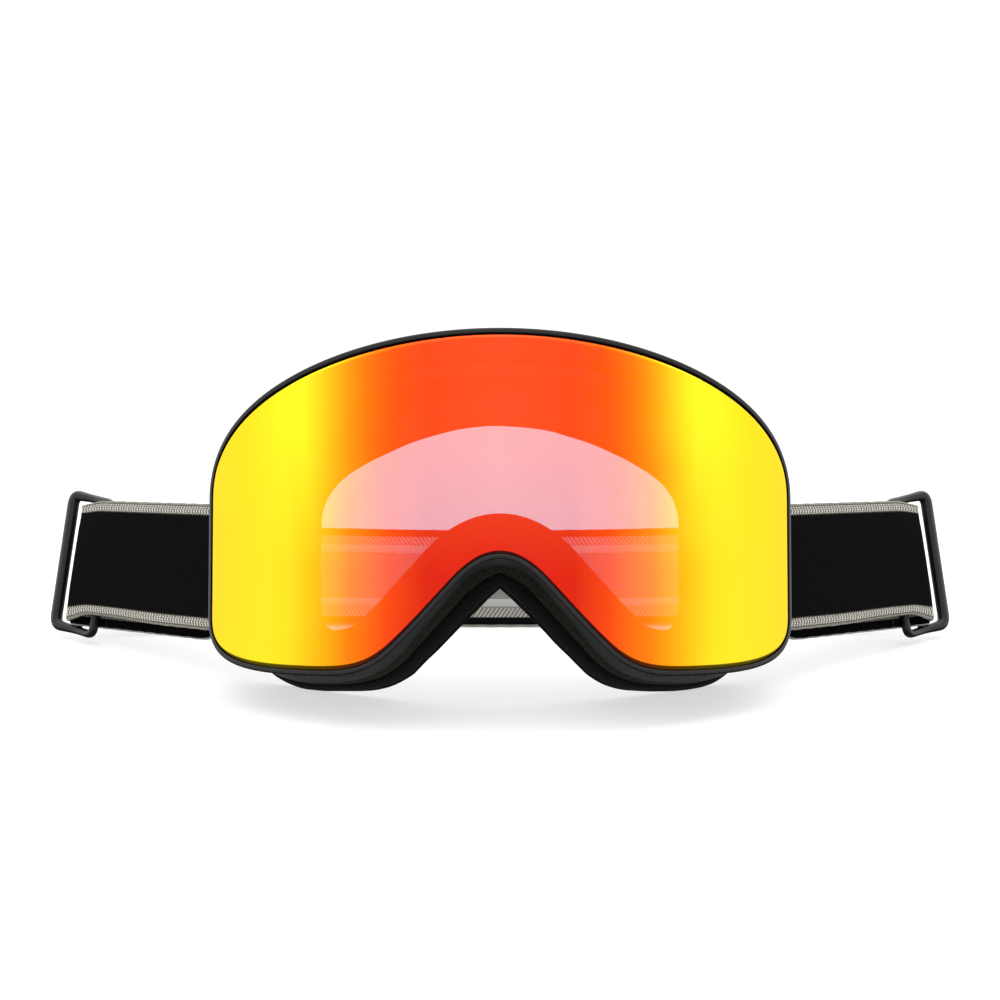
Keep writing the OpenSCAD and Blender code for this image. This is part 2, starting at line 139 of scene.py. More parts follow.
def whole(curves):
    """The closed outline of a half outline and its mirror image."""
    half = [cubic(c, np.arange(n) / n) for c, n in zip(curves, STEPS)]
    half = np.vstack(half + [np.array([curves[-1][3]], float)])
    return np.vstack([half, half[-2:0:-1] * [-1, 1]])


def unrolled(p):
    return np.column_stack([LENS_R * np.arcsin(p[:, 0] / LENS_R), p[:, 1]])


def rolled(p):
    return np.column_stack([LENS_R * np.sin(p[:, 0] / LENS_R), p[:, 1]])


def inset(line, d):
    """An outline moved inwards by d, square to it and along the curved surface."""
    f = unrolled(line)
    t = np.roll(f, -1, 0) - np.roll(f, 1, 0)
    return rolled(f + d * np.column_stack([t[:, 1], -t[:, 0]]) / np.linalg.norm(t, axis=1)[:, None])


LENS_LINE, FLANGE_LINE = whole(LENS_HALF), whole(FLANGE_HALF)
FACE_LINE, OPENING_LINE = whole(FACE_HALF), whole(OPENING_HALF)


def lens_y(x, r):
    return LENS_R - np.sqrt(r * r - x * x)


def foam_y(x, t):
    return (1 - t) * (26 + 0.0055 * x * x) + t * (44 + 0.0050 * x * x)


def lens_loop(d, r):
    p = inset(LENS_LINE, d)
    return np.column_stack([p[:, 0], lens_y(p[:, 0], r), p[:, 1]])


def foam_loop(d, t, dy=0.0):
    p = inset((1 - t) * FLANGE_LINE + t * FACE_LINE, d)
    return np.column_stack([p[:, 0], foam_y(p[:, 0], t) + dy, p[:, 1]])


def opening_loop(d, t, dy=0.0):
    p = inset(OPENING_LINE, -d)
    return np.column_stack([p[:, 0], foam_y(p[:, 0], t) + dy, p[:, 1]])


def unit(v):
    return v / np.linalg.norm(v, axis=-1, keepdims=True)


def smooth(t):
    t = np.clip(t, 0, 1)
    return t * t * (3 - 2 * t)


def leaned(p):
    c, s = math.cos(math.radians(LEAN)), math.sin(math.radians(LEAN))
    return np.column_stack([p[:, 0], p[:, 1] * c + p[:, 2] * s, -p[:, 1] * s + p[:, 2] * c])


# The lens frame's origin: the drawn lens meets the CAD lens at its front and at its top
_edge = leaned(lens_loop(0, LENS_R))
_lens_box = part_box("outer_lens")
ORIGIN = np.array([0, _lens_box[0].y / MM - _edge[:, 1].min(), _lens_box[1].z / MM - _edge[:, 2].max()])


def stand(p):
    """Points of the lens frame, in the row frame, still in millimetres."""
    return leaned(p) + ORIGIN


# ---------------------------------------------------------------------------------------------
# Materials
# ---------------------------------------------------------------------------------------------
def srgb(r, g, b):
    def line(v):
        v /= 255
        return v / 12.92 if v <= 0.04045 else ((v + 0.055) / 1.055) ** 2.4
    return (line(r), line(g), line(b), 1.0)


class Tree:
    """A material's node tree, with short calls for the nodes used here."""

    def __init__(self, name):
        self.mat = bpy.data.materials.new(name)
        self.mat.use_nodes = True
        self.nt = self.mat.node_tree
        self.nt.nodes.clear()
        self.out = self.nt.nodes.new("ShaderNodeOutputMaterial")

    def put(self, socket, value):
        if isinstance(value, bpy.types.NodeSocket):
            self.nt.links.new(value, socket)
        elif value is not None:
            socket.default_value = value

    def node(self, kind, **inputs):
        n = self.nt.nodes.new("ShaderNode" + kind)
        for key, value in inputs.items():
            self.put(n.inputs[key.replace("_", " ")], value)
        return n

    def math(self, op, a, b=0.0, c=0.0):
        n = self.nt.nodes.new("ShaderNodeMath")
        n.operation = op
        for socket, value in zip(n.inputs, (a, b, c)):
            self.put(socket, value)
        return n.outputs[0]

    def mix(self, fac, a, b):
        n = self.nt.nodes.new("ShaderNodeMix")
        n.data_type = "RGBA"
        self.put(n.inputs[0], fac)
        self.put(n.inputs[6], a)
        self.put(n.inputs[7], b)
        return n.outputs[2]

    def ramp(self, fac, stops, ease="LINEAR"):
        n = self.nt.nodes.new("ShaderNodeValToRGB")
        n.color_ramp.interpolation = ease
        e = n.color_ramp.elements
        while len(e) < len(stops):
            e.new(0.5)
        for slot, (at, colour) in zip(e, stops):
            slot.position, slot.color = at, colour
        self.put(n.inputs[0], fac)
        return n.outputs[0]

    def within(self, value, low, high, soft=0.1):
        """1 where value is between low and high, with soft edges."""
        up = self.node("MapRange", Value=value, From_Min=low - soft, From_Max=low + soft).outputs[0]
        down = self.node("MapRange", Value=value, From_Min=high + soft, From_Max=high - soft).outputs[0]
        return self.math("MULTIPLY", up, down)

    def coords(self):
        return self.node("TexCoord").outputs["Object"]

    def noise(self, scale, detail=3.0, rough=0.55, vector=None):
        return self.node("TexNoise", Vector=vector or self.coords(), Scale=scale, Detail=detail,
                         Roughness=rough).outputs[0]

    def attribute(self, name):
        n = self.nt.nodes.new("ShaderNodeAttribute")
        n.attribute_name = name
        return n.outputs["Fac"]

    def bump(self, height, strength, distance, normal=None):
        return self.node("Bump", Height=height, Strength=strength, Distance=distance,
                         Normal=normal).outputs[0]

    def surface(self, **inputs):
        """Ends the tree in one Principled shader."""
        n = self.node("BsdfPrincipled", **inputs)
        self.nt.links.new(n.outputs[0], self.out.inputs[0])
        return self.mat


def moulded(name, dark, light, rough, grain=900.0, grain_depth=0.00003, specular=0.5):
    """Moulded plastic: a fine grain, faint cloudiness, and paler sharp edges, a painted edge highlight."""
    t = Tree(name)
    cloud = t.noise(35.0)
    edge = t.node("NewGeometry").outputs["Pointiness"]
    # paler along sharp convex edges: a painted edge highlight
    painted_edge_highlight = t.node("MapRange", Value=edge, From_Min=0.53, From_Max=0.62).outputs[0]
    shade = t.math("MAXIMUM", t.math("MULTIPLY", cloud, 0.35), t.math("MULTIPLY", painted_edge_highlight, 0.8))
    dust = t.noise(2600.0, 1.0)
    roughness = t.node("MapRange", Value=t.noise(120.0), To_Min=rough - 0.06, To_Max=rough + 0.08).outputs[0]
    height = t.math("ADD", t.noise(grain, 2.0), t.math("MULTIPLY", dust, 0.3))
    return t.surface(Base_Color=t.mix(shade, dark, light), Roughness=roughness,
                     Specular_IOR_Level=specular, Normal=t.bump(height, 0.5, grain_depth))


def foam_material(name, dark, light, cell, depth=0.0003):
    """Open-cell foam: small dark pores between paler cell walls."""
    t = Tree(name)
    n = t.node("TexVoronoi", Vector=t.coords(), Scale=cell)
    n.feature = "SMOOTH_F1"
    pore = t.node("MapRange", Value=n.outputs["Distance"], From_Min=0.15, From_Max=0.6).outputs[0]
    speck = t.noise(cell * 1.7, 2.0)
    shade = t.math("MULTIPLY", pore, speck)
    height = t.math("ADD", pore, t.math("MULTIPLY", t.noise(300.0), 0.6))
    return t.surface(Base_Color=t.mix(shade, dark, light), Roughness=0.95, Specular_IOR_Level=0.04,
                     Sheen_Weight=0.02, Sheen_Roughness=0.5, Normal=t.bump(height, 0.8, depth))


def fleece_material():
    """Brushed fleece: fine matted fibres that catch a little light at the edges."""
    t = Tree("fleece")
    fibres = t.noise(1500.0, 5.0, 0.7)
    matted = t.noise(240.0, 3.0)
    height = t.math("ADD", fibres, t.math("MULTIPLY", matted, 1.2))
    return t.surface(Base_Color=t.mix(fibres, srgb(3, 3, 3), srgb(18, 18, 18)), Roughness=1.0,
                     Specular_IOR_Level=0.02, Sheen_Weight=0.03, Sheen_Roughness=0.6,
                     Normal=t.bump(height, 0.9, 0.0004))


def mirror_material():
    """Mirror coating, coloured by place across the lens: red in the middle, orange, then gold towards the sides,
    and deeper red low down; the change from red to gold towards the sides is painted reflection colour. What it
    does not reflect comes through bluish, from the foam and strap behind it."""
    t = Tree("mirror_coating")
    place = t.node("SeparateXYZ", Vector=t.coords())
    cloud = t.noise(22.0, 2.0)
    sway = t.math("MULTIPLY_ADD", cloud, 0.006, -0.003)
    across = t.math("ADD", t.math("ABSOLUTE", place.outputs[0]), sway)
    share = t.math("DIVIDE", across, 0.0875)
    # colour by place across the lens: the shift to gold towards the sides is painted reflection colour
    band = [(0.00, srgb(254, 80, 34)), (0.24, srgb(250, 76, 26)), (0.34, srgb(253, 88, 16)),
            (0.39, srgb(254, 104, 14)), (0.44, srgb(254, 124, 14)), (0.495, srgb(255, 154, 18)),
            (0.545, srgb(255, 187, 24)), (0.60, srgb(255, 222, 34)), (0.65, srgb(255, 246, 42)),
            (0.74, srgb(255, 244, 40)), (0.86, srgb(255, 226, 32)), (1.0, srgb(255, 220, 32))]
    high = t.ramp(share, band)
    low_band = [(0.00, srgb(222, 30, 16)), (0.24, srgb(222, 40, 12)), (0.36, srgb(246, 72, 14)),
                (0.50, srgb(254, 130, 14)), (0.60, srgb(255, 180, 20)), (0.72, srgb(255, 222, 36)),
                (0.80, srgb(255, 226, 40)), (1.0, srgb(255, 216, 36))]
    low = t.ramp(share, low_band)
    height = t.node("MapRange", Value=place.outputs[2], From_Min=0.045, From_Max=0.085).outputs[0]
    reflected = t.mix(height, low, high)
    passed = t.ramp(share, [(0.0, (0.03, 0.80, 0.96, 1)), (0.30, (0.03, 0.74, 0.92, 1)),
                            (0.45, (0.02, 0.62, 0.78, 1)), (0.56, (0.0, 0.46, 0.58, 1)),
                            (0.7, (0.0, 0.2, 0.3, 1)), (1.0, (0.0, 0.05, 0.1, 1))])
    mirror = t.node("BsdfPrincipled", Base_Color=reflected, Metallic=1.0, Roughness=0.06)
    clear = t.node("BsdfTransparent", Color=passed)
    both = t.node("MixShader")
    both.inputs[0].default_value = 0.6
    t.nt.links.new(clear.outputs[0], both.inputs[1])
    t.nt.links.new(mirror.outputs[0], both.inputs[2])
    t.nt.links.new(both.outputs[0], t.out.inputs[0])
    return t.mat


def pane_material(name, tint, shine):
    """A thin clear sheet: nearly all of what is behind shows, with a faint reflection."""
    t = Tree(name)
    gloss = t.node("BsdfPrincipled", Base_Color=tint, Roughness=0.05)
    haze = t.math("MULTIPLY_ADD", t.noise(60.0), 0.03, shine)
    clear = t.node("BsdfTransparent", Color=(0.99, 0.99, 0.99, 1))
    both = t.node("MixShader")
    t.put(both.inputs[0], haze)
    t.nt.links.new(clear.outputs[0], both.inputs[1])
    t.nt.links.new(gloss.outputs[0], both.inputs[2])
    t.nt.links.new(both.outputs[0], t.out.inputs[0])
    return t.mat


GREY_YARN = srgb(212, 207, 195)


def webbing(name, inside):
    """Knitted elastic. Outside: black, with a grey herringbone band and cord along each edge.
    Inside: heather grey with black edges. The attributes give millimetres along and across."""
    t = Tree(name)
    along, across = t.attribute("along"), t.attribute("across")
    out = t.math("ABSOLUTE", across)
    place = t.node("CombineXYZ", X=along, Y=across).outputs[0]
    fuzz = t.noise(9.0, 4.0, 0.65, place)
    streak = t.node("CombineXYZ", X=t.math("MULTIPLY", along, 0.25),
                    Y=t.math("MULTIPLY", across, 2.6)).outputs[0]
    rib = t.noise(1.4, 3.0, 0.6, streak)
    # knit: short loops in columns
    knit = t.math("SINE", t.math("MULTIPLY", across, 2 * math.pi / 0.55))
    rows = t.math("SINE", t.math("ADD", t.math("MULTIPLY", along, 2 * math.pi / 0.75),
                                 t.math("MULTIPLY", t.math("SIGN", knit), 1.2)))
    loops = t.math("MULTIPLY", t.math("ABSOLUTE", knit), t.math("MULTIPLY_ADD", rows, 0.5, 0.5))
    # herringbone: slanted loops that meet along the middle of the band
    sway = t.math("MULTIPLY", t.math("SUBTRACT", t.noise(0.8, 2.0, 0.5, place), 0.5), 2.2)
    fold = t.math("ABSOLUTE", t.math("SUBTRACT", out, 17.7))
    slant = t.math("SINE", t.math("ADD", t.math("MULTIPLY_ADD", along, 2 * math.pi / 1.5, sway),
                                  t.math("MULTIPLY", fold, 2.6)))
    row = t.math("ABSOLUTE", t.math("SINE", t.math("MULTIPLY", fold, math.pi / 0.72)))
    bone = t.node("MapRange", Value=t.math("ADD", slant, t.math("MULTIPLY", row, 0.8)), From_Min=-0.7,
                  From_Max=1.0).outputs[0]
    cord = t.math("MULTIPLY_ADD", t.math("SINE", t.math("MULTIPLY", along, 2 * math.pi / 0.7)), 0.5, 0.5)
    edge_cord = t.within(out, 19.3, 22.0, 0.05)
    grey_dark = srgb(44, 41, 37)
    grey_yarn = t.mix(t.math("MULTIPLY", fuzz, 0.3), GREY_YARN, grey_dark)
    black = t.mix(t.math("MULTIPLY", t.math("MULTIPLY", loops, fuzz), 0.8), srgb(2, 2, 2), srgb(14, 15, 16))
    if inside:
        heather = t.ramp(t.math("ADD", t.math("MULTIPLY", rib, 0.65), t.math("MULTIPLY", fuzz, 0.45)),
                         [(0.35, srgb(74, 74, 71)), (0.55, srgb(126, 126, 121)), (0.75, srgb(158, 158, 152))])
        shade = t.mix(t.math("MULTIPLY", loops, 0.35), heather, srgb(84, 84, 80))
        shade = t.mix(t.within(out, 16.6, 22.0, 0.12), shade, black)
        shade = t.mix(t.within(out, 19.6, 22.0, 0.05), shade, srgb(150, 148, 142))
        inner_bone = t.mix(bone, srgb(66, 64, 60), srgb(160, 157, 149))
        shade = t.mix(t.within(out, 12.6, 16.6, 0.12), shade, inner_bone)
    else:
        teeth = t.math("MULTIPLY", t.math("SINE", t.math("MULTIPLY", along, 2 * math.pi / 1.5)), 0.3)
        band_at = t.math("ADD", out, teeth)
        shade = t.mix(t.within(band_at, 16.4, 30.0, 0.08), black, t.mix(bone, grey_dark, grey_yarn))
        shade = t.mix(t.within(out, 19.05, 19.3, 0.06), shade, srgb(60, 56, 52))
        shade = t.mix(edge_cord, shade, t.mix(cord, grey_dark, grey_yarn))
    band = t.within(out, 16.3, 19.0, 0.15)
    bone_height = t.math("MULTIPLY", t.math("MULTIPLY", bone, band), 1.6)
    height = t.math("ADD", t.math("MULTIPLY", loops, 0.5), bone_height)
    height = t.math("ADD", height, t.math("ADD", t.math("MULTIPLY", t.math("MULTIPLY", cord, edge_cord), 1.2),
                                          t.math("MULTIPLY", rib, 0.8)))
    return t.surface(Base_Color=shade, Roughness=0.95, Specular_IOR_Level=0.04,
                     Normal=t.bump(height, 0.9, 0.0003))


def thread_material():
    t = Tree("thread")
    twist = t.node("TexWave", Vector=t.coords(), Scale=900.0, Distortion=2.0).outputs[1]
    return t.surface(Base_Color=t.mix(twist, srgb(4, 4, 4), srgb(26, 26, 26)), Roughness=0.75,
                     Specular_IOR_Level=0.15, Normal=t.bump(twist, 0.7, 0.00008))


def metal_material():
    t = Tree("nickel")
    scratch = t.noise(500.0, 4.0)
    rough = t.node("MapRange", Value=scratch, To_Min=0.18, To_Max=0.34).outputs[0]
    return t.surface(Base_Color=t.mix(scratch, (0.55, 0.55, 0.57, 1), (0.72, 0.72, 0.74, 1)),
                     Metallic=1.0, Roughness=rough, Normal=t.bump(scratch, 0.2, 0.00002))


MATERIALS = {
    "lens_mirror": mirror_material(),
    "lens_clear": pane_material("clear_sheet", (0.9, 0.92, 0.93, 1), -0.01),
    "lens_back": pane_material("lens_back", (0.9, 0.92, 0.93, 1), -0.012),
    "gasket_foam": foam_material("gasket_tape", srgb(34, 33, 32), srgb(74, 72, 70), 1800.0, 0.0001),
    "carrier_plastic": moulded("carrier_plastic", srgb(9, 9, 10), srgb(24, 24, 25), 0.3, specular=0.22),
    "ring_plastic": moulded("ring_plastic", srgb(8, 9, 10), srgb(22, 23, 26), 0.22, 600.0, 0.00002, 0.25),
    "frame_tpu": moulded("frame_tpu", srgb(11, 12, 13), srgb(28, 29, 31), 0.3, 700.0, 0.00003, 0.25),
    "vent_foam": foam_material("vent_foam", srgb(8, 8, 8), srgb(44, 44, 44), 900.0, 0.0005),
    "face_foam": foam_material("face_foam", srgb(12, 12, 9), srgb(46, 44, 33), 1300.0),
    "comfort_foam": foam_material("comfort_foam", srgb(5, 5, 5), srgb(22, 22, 21), 1500.0),
    "fleece": fleece_material(),
    "webbing_out": webbing("webbing_out", False),
    "webbing_in": webbing("webbing_in", True),
    "silicone": moulded("silicone", srgb(120, 120, 115), srgb(150, 150, 146), 0.35, 400.0, 0.00005),
    "thread": thread_material(),
    "adjuster_plastic": moulded("adjuster_plastic", srgb(8, 9, 9), srgb(26, 27, 28),
                                0.34, 1100.0, 0.00004, 0.22),
    "magnet": metal_material(),
}


# ---------------------------------------------------------------------------------------------
# Meshes
# ---------------------------------------------------------------------------------------------
def new_piece(name, points, faces, materials, indices=None, attributes=None):
    """A smooth-shaded mesh from points in millimetres of the row frame."""
    mesh = bpy.data.meshes.new(name)
    mesh.from_pydata((points * MM).tolist(), [], [tuple(int(i) for i in f) for f in faces])
    for m in materials:
        mesh.materials.append(MATERIALS[m])
    mesh.polygons.foreach_set("use_smooth", [True] * len(mesh.polygons))
    if indices is not None:
        mesh.polygons.foreach_set("material_index", np.asarray(indices, np.int32))
    for key, values in (attributes or {}).items():
        mesh.attributes.new(key, "FLOAT", "POINT").data.foreach_set("value", np.asarray(values, np.float32))
    mesh.validate()
    obj = bpy.data.objects.new(name, mesh)
    bpy.context.scene.collection.objects.link(obj)
    return obj


def fix_normals(obj):
    """Turns every face of a closed piece to point outwards."""
    bm = bmesh.new()
    bm.from_mesh(obj.data)
    bmesh.ops.recalc_face_normals(bm, faces=bm.faces)
    bm.to_mesh(obj.data)
    bm.free()


def finish_piece(obj, body, nodes):
    """Hides the nodes a piece stands for and gives it the body it moves with."""
    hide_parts(*nodes)
    if body:
        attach(obj, body)
    return obj


def apply_modifiers(obj):
    """Replaces the mesh with its evaluated result."""
    graph = bpy.context.evaluated_depsgraph_get()
    mesh = bpy.data.meshes.new_from_object(obj.evaluated_get(graph))
    obj.modifiers.clear()
    obj.data = mesh


def rounded(corners, radius, steps=4):
    """Loops of a cross-section whose corners are rounded; radius is one size or one per corner."""
    k = len(corners)
    radii = radius if isinstance(radius, (list, tuple)) else [radius] * k
    loops = []
    for j, c in enumerate(corners):
        before, after = corners[j - 1] - c, corners[(j + 1) % k] - c
        la, lb = (np.linalg.norm(v, axis=1, keepdims=True) for v in (before, after))
        p = c + before / la * np.minimum(radii[j], 0.45 * la)
        q = c + after / lb * np.minimum(radii[j], 0.45 * lb)
        for t in np.linspace(0, 1, steps + 1):
            loops.append((1 - t) ** 2 * p + 2 * t * (1 - t) * c + t * t * q)
    return loops


def bulged(corners, bulge, steps=5):
    """Corners with extra loops along each side, pushed out by bulge (one size per side)."""
    middle = sum(corners) / len(corners)
    loops = []
    for j, c in enumerate(corners):
        after = corners[(j + 1) % len(corners)]
        loops.append(c)
        if not bulge[j]:
            continue
        along = unit(after - c)
        out = (c + after) / 2 - middle
        out = unit(out - np.sum(out * along, axis=1, keepdims=True) * along)
        for t in np.linspace(0, 1, steps + 1)[1:-1]:
            loops.append((1 - t) * c + t * after + out * bulge[j] * 4 * t * (1 - t))
    return loops


def ring(name, loops, materials, index_of=None):
    """A closed ring whose cross-section has a point on each loop (lens frame)."""
    k, n = len(loops), len(loops[0])
    j, i = np.meshgrid(np.arange(k), np.arange(n), indexing="ij")
    a, b = j * n + i, ((j + 1) % k) * n + i
    c, d = ((j + 1) % k) * n + (i + 1) % n, j * n + (i + 1) % n
    faces = np.stack([a, b, c, d], -1).reshape(-1, 4)
    obj = new_piece(name, stand(np.vstack(loops)), faces, materials)
    fix_normals(obj)
    return obj


def half_ring(name, loops, first, last, materials):
    """Part of a ring, from outline point first to point last, with closed ends."""
    n = len(loops[0])
    at = np.arange(first, last + 1) % n
    loops = [l[at] for l in loops]
    k, m = len(loops), len(at)
    faces = []
    for j in range(k):
        up = (j + 1) % k
        faces += [(j * m + i, up * m + i, up * m + i + 1, j * m + i + 1) for i in range(m - 1)]
    faces += [[j * m for j in range(k)], [j * m + m - 1 for j in range(k)]]
    obj = new_piece(name, stand(np.vstack(loops)), faces, materials)
    fix_normals(obj)
    return obj


# --- lenses ---
def curved_sheet(name, d, outer_r, inner_r, front_material, back_material, columns=260, rows=50):
    """A plate on the lens cylinder inside the lens outline, made of columns."""
    line = inset(LENS_LINE, d)
    half = line[: sum(STEPS) + 1]
    widest = half[:, 0].max()
    at_widest = np.flatnonzero(half[:, 0] > widest - 1e-6)
    first, last = at_widest[0], at_widest[-1]
    top, low = half[: first + 1], half[last:][::-1]
    turn = np.linspace(-math.pi / 2, math.pi / 2, columns + 1)
    share = 0.6 * np.sin(turn) + 0.4 * turn / (math.pi / 2)
    x = widest * share
    z_top = np.interp(np.abs(x), top[:, 0], top[:, 1])
    z_low = np.interp(np.abs(x), low[:, 0], low[:, 1])
    v = np.linspace(0, 1, rows + 1)
    z = z_low[:, None] + (z_top - z_low)[:, None] * v
    xx = np.repeat(x[:, None], rows + 1, 1)
    points = np.vstack([np.column_stack([xx.ravel(), lens_y(xx.ravel(), r), z.ravel()])
                        for r in (outer_r, inner_r)])
    n = rows + 1
    total = (columns + 1) * n
    i, j = np.meshgrid(np.arange(columns), np.arange(rows), indexing="ij")
    a = (i * n + j).ravel()
    front = np.column_stack([a, a + n, a + n + 1, a + 1])
    back = np.column_stack([a, a + 1, a + n + 1, a + n]) + total
    edge = [(c * n, c * n + total, (c + 1) * n + total, (c + 1) * n) for c in range(columns)]
    edge += [(c * n + rows, (c + 1) * n + rows, (c + 1) * n + rows + total, c * n + rows + total)
             for c in range(columns)]
    last_column = columns * n
    edge += [(r, r + 1, r + 1 + total, r + total) for r in range(rows)]
    edge += [(last_column + r + 1, last_column + r, last_column + r + total, last_column + r + 1 + total)
             for r in range(rows)]
    faces = front.tolist() + back.tolist() + edge
    index = [0] * len(front) + [1] * (len(back) + len(edge))
    return new_piece(name, stand(points), faces, [front_material, back_material], index)


def build_lens_unit():
    lens = curved_sheet("lens_outer", 0, LENS_R, LENS_BACK_R, "lens_mirror", "lens_back")
    finish_piece(lens, "lens_unit", ["outer_lens"])
    sheet = curved_sheet("lens_inner", 8, INNER_FRONT_R, INNER_FRONT_R - INNER_T, "lens_clear",
                         "lens_back", 160, 30)
    finish_piece(sheet, "lens_unit", ["inner_lens"])
    tape = ring("gasket_tape", rounded([
        lens_loop(8, LENS_BACK_R - SEAL), lens_loop(11.5, LENS_BACK_R - SEAL),
        lens_loop(11.5, INNER_FRONT_R + SEAL), lens_loop(8, INNER_FRONT_R + SEAL)], 0.5), ["gasket_foam"])
    finish_piece(tape, "lens_unit", ["lens_gasket"])
    rim = ring("carrier_rim", rounded([
        lens_loop(-RIM_W, LENS_R + LIP_PROUD), lens_loop(-LIP_GAP, LENS_R + LIP_PROUD),
        lens_loop(-LIP_GAP, LENS_BACK_R - SEAL), lens_loop(7, LENS_BACK_R - SEAL),
        lens_loop(7, FLANGE_BACK_R), lens_loop(RIM_STEP - RIM_W, FLANGE_BACK_R)],
        [0.7, 0.3, 0.1, 0.4, 0.4, 0.9]), ["carrier_plastic"])
    finish_piece(rim, "lens_unit", ["lens_carrier"])


# --- face frame ---
TOP_VENTS = (-42, -21, 0, 21, 42)
BOTTOM_VENTS = (-62, -48, 48, 62)


def slot_cutter(centre, size, tilt=0.0):
    """A rounded box that cuts a vent slot (lens frame)."""
    bm = bmesh.new()
    bmesh.ops.create_cube(bm, size=1.0)
    bmesh.ops.scale(bm, vec=size, verts=bm.verts)
    upright = [e for e in bm.edges if abs(e.verts[0].co.z - e.verts[1].co.z) > size[2] / 2]
    bmesh.ops.bevel(bm, geom=upright, offset=min(size[0], size[1]) * 0.45, segments=6,
                    affect="EDGES", profile=0.5)
    turn = np.array([[math.cos(tilt), 0, math.sin(tilt)], [0, 1, 0], [-math.sin(tilt), 0, math.cos(tilt)]])
    points = np.array([v.co for v in bm.verts]) @ turn.T + centre
    faces = [[v.index for v in f.verts] for f in bm.faces]
    bm.free()
    return stand(points), faces


def cut_slots(obj, cutters):
    """Cuts all the vent slots out of a piece in one boolean."""
    base, points, faces = 0, [], []
    for p, f in cutters:
        points.append(p)
        faces += [[i + base for i in face] for face in f]
        base += len(p)
    tool = new_piece("vent_cutter", np.vstack(points), faces, [])
    fix_normals(tool)
    cut = obj.modifiers.new("vents", "BOOLEAN")
    cut.operation, cut.object, cut.solver = "DIFFERENCE", tool, "EXACT"
    apply_modifiers(obj)
    bpy.data.objects.remove(tool)


def build_frame():
    front = ring("frame_front_ring", rounded([
        lens_loop(RIM_STEP - RIM_W, RING_FRONT_R), lens_loop(6, RING_FRONT_R),
        lens_loop(6, RING_BACK_R), lens_loop(RIM_STEP - RIM_W, RING_BACK_R)], 0.6), ["ring_plastic"])
    finish_piece(front, "goggles", ["front_ring"])
    outer_front, outer_back = lens_loop(0, RING_BACK_R - SEAL), foam_loop(0, 0)
    step = [(1 - t) * outer_front + t * outer_back for t in (0.30, 0.36)]
    loops = rounded([
        outer_front, lens_loop(WALL_T, RING_BACK_R - SEAL), foam_loop(WALL_T, 0, -WALL_T),
        opening_loop(1, 0, -WALL_T), opening_loop(1, 0), outer_back,
        step[1], step[0]], [0.4, 0.4, 0.8, 0.8, 0.4, 0.7, 0.3, 0.3])
    shell = ring("frame_shell", loops, ["frame_tpu"])
    cutters = [slot_cutter((x, 13 + 0.004 * x * x, 43 - 0.0045 * x * x), (15, 6, 16), math.radians(0.344 * x))
               for x in TOP_VENTS]
    cutters += [slot_cutter((x, 18.5 + 0.0042 * x * x, -51), (10, 6, 12)) for x in BOTTOM_VENTS]
    cut_slots(shell, cutters)
    shell.data.polygons.foreach_set("use_smooth", [True] * len(shell.data.polygons))
    soften = shell.modifiers.new("normals", "WEIGHTED_NORMAL")
    soften.keep_sharp = True
    shell.data.set_sharp_from_angle(angle=math.radians(35))
    finish_piece(shell, "goggles", ["main_frame"])


def build_vent_foam():
    section = [
        lens_loop(WALL_T + 0.2, RING_BACK_R - 0.6), lens_loop(WALL_T + 2.2, RING_BACK_R - 0.6),
        foam_loop(WALL_T + 2.4, 0, -WALL_T - 0.4), foam_loop(WALL_T + 0.4, 0, -WALL_T - 0.4)]
    n = len(LENS_LINE)
    reach = round(15 / 14 * STEPS[0])
    top = half_ring("vent_foam_upper", rounded(section, 0.5), n - reach, n + reach, ["vent_foam"])
    finish_piece(top, "goggles", ["vent_foam_top"])
    share = n / 118
    first, last = round(35 * share), round(44 * share)
    right = half_ring("vent_foam_lower_right", rounded(section, 0.5), first, last, ["vent_foam"])
    finish_piece(right, "goggles", ["vent_foam_bottom"])
    left = half_ring("vent_foam_lower_left", rounded(section, 0.5), n - last, n - first, ["vent_foam"])
    finish_piece(left, "goggles", [])


def roughen(obj, size, depth, seed):
    """Small uneven swells over a soft piece, from a noise texture; seed is not used."""
    texture = bpy.data.textures.new(obj.name + "_swell", "CLOUDS")
    texture.noise_scale = size
    texture.noise_depth = 1
    swell = obj.modifiers.new("swell", "DISPLACE")
    swell.texture, swell.strength, swell.mid_level = texture, depth, 0.5
    swell.texture_coords = "LOCAL"
    apply_modifiers(obj)


def build_foam():
    """Three bonded layers; the outer walls of the soft ones swell between their bonds."""
    layers = [
        ("foam_first_layer", "foam_base", "face_foam", "face_foam", 0.6, (0, 0.3, 0, 0.3)),
        ("foam_second_layer", "foam_comfort", "comfort_foam", "face_foam", 0.3, (0, 0.9, 0, 0.9)),
        ("fleece_face", "fleece_lining", "fleece", "fleece", 0.0, (0, 0.2, 0.9, 0.2))]
    for k, (name, node, material, slot, d, bulge) in enumerate(layers):
        a, b = FOAM_CUTS[k], FOAM_CUTS[k + 1]
        corners = [foam_loop(d, a, SEAL), opening_loop(d, a, SEAL), opening_loop(d, b), foam_loop(d, b)]
        radius = 0.5 if k < 2 else 0.6
        loops = bulged(corners, bulge)
        if k == 2:
            loops = rounded(corners, [0.2, 0.2, 1.4, 1.4], 5)
        obj = ring(name, loops, [material])
        roughen(obj, 0.012, 0.0005, k)
        finish_piece(obj, "goggles", [node])


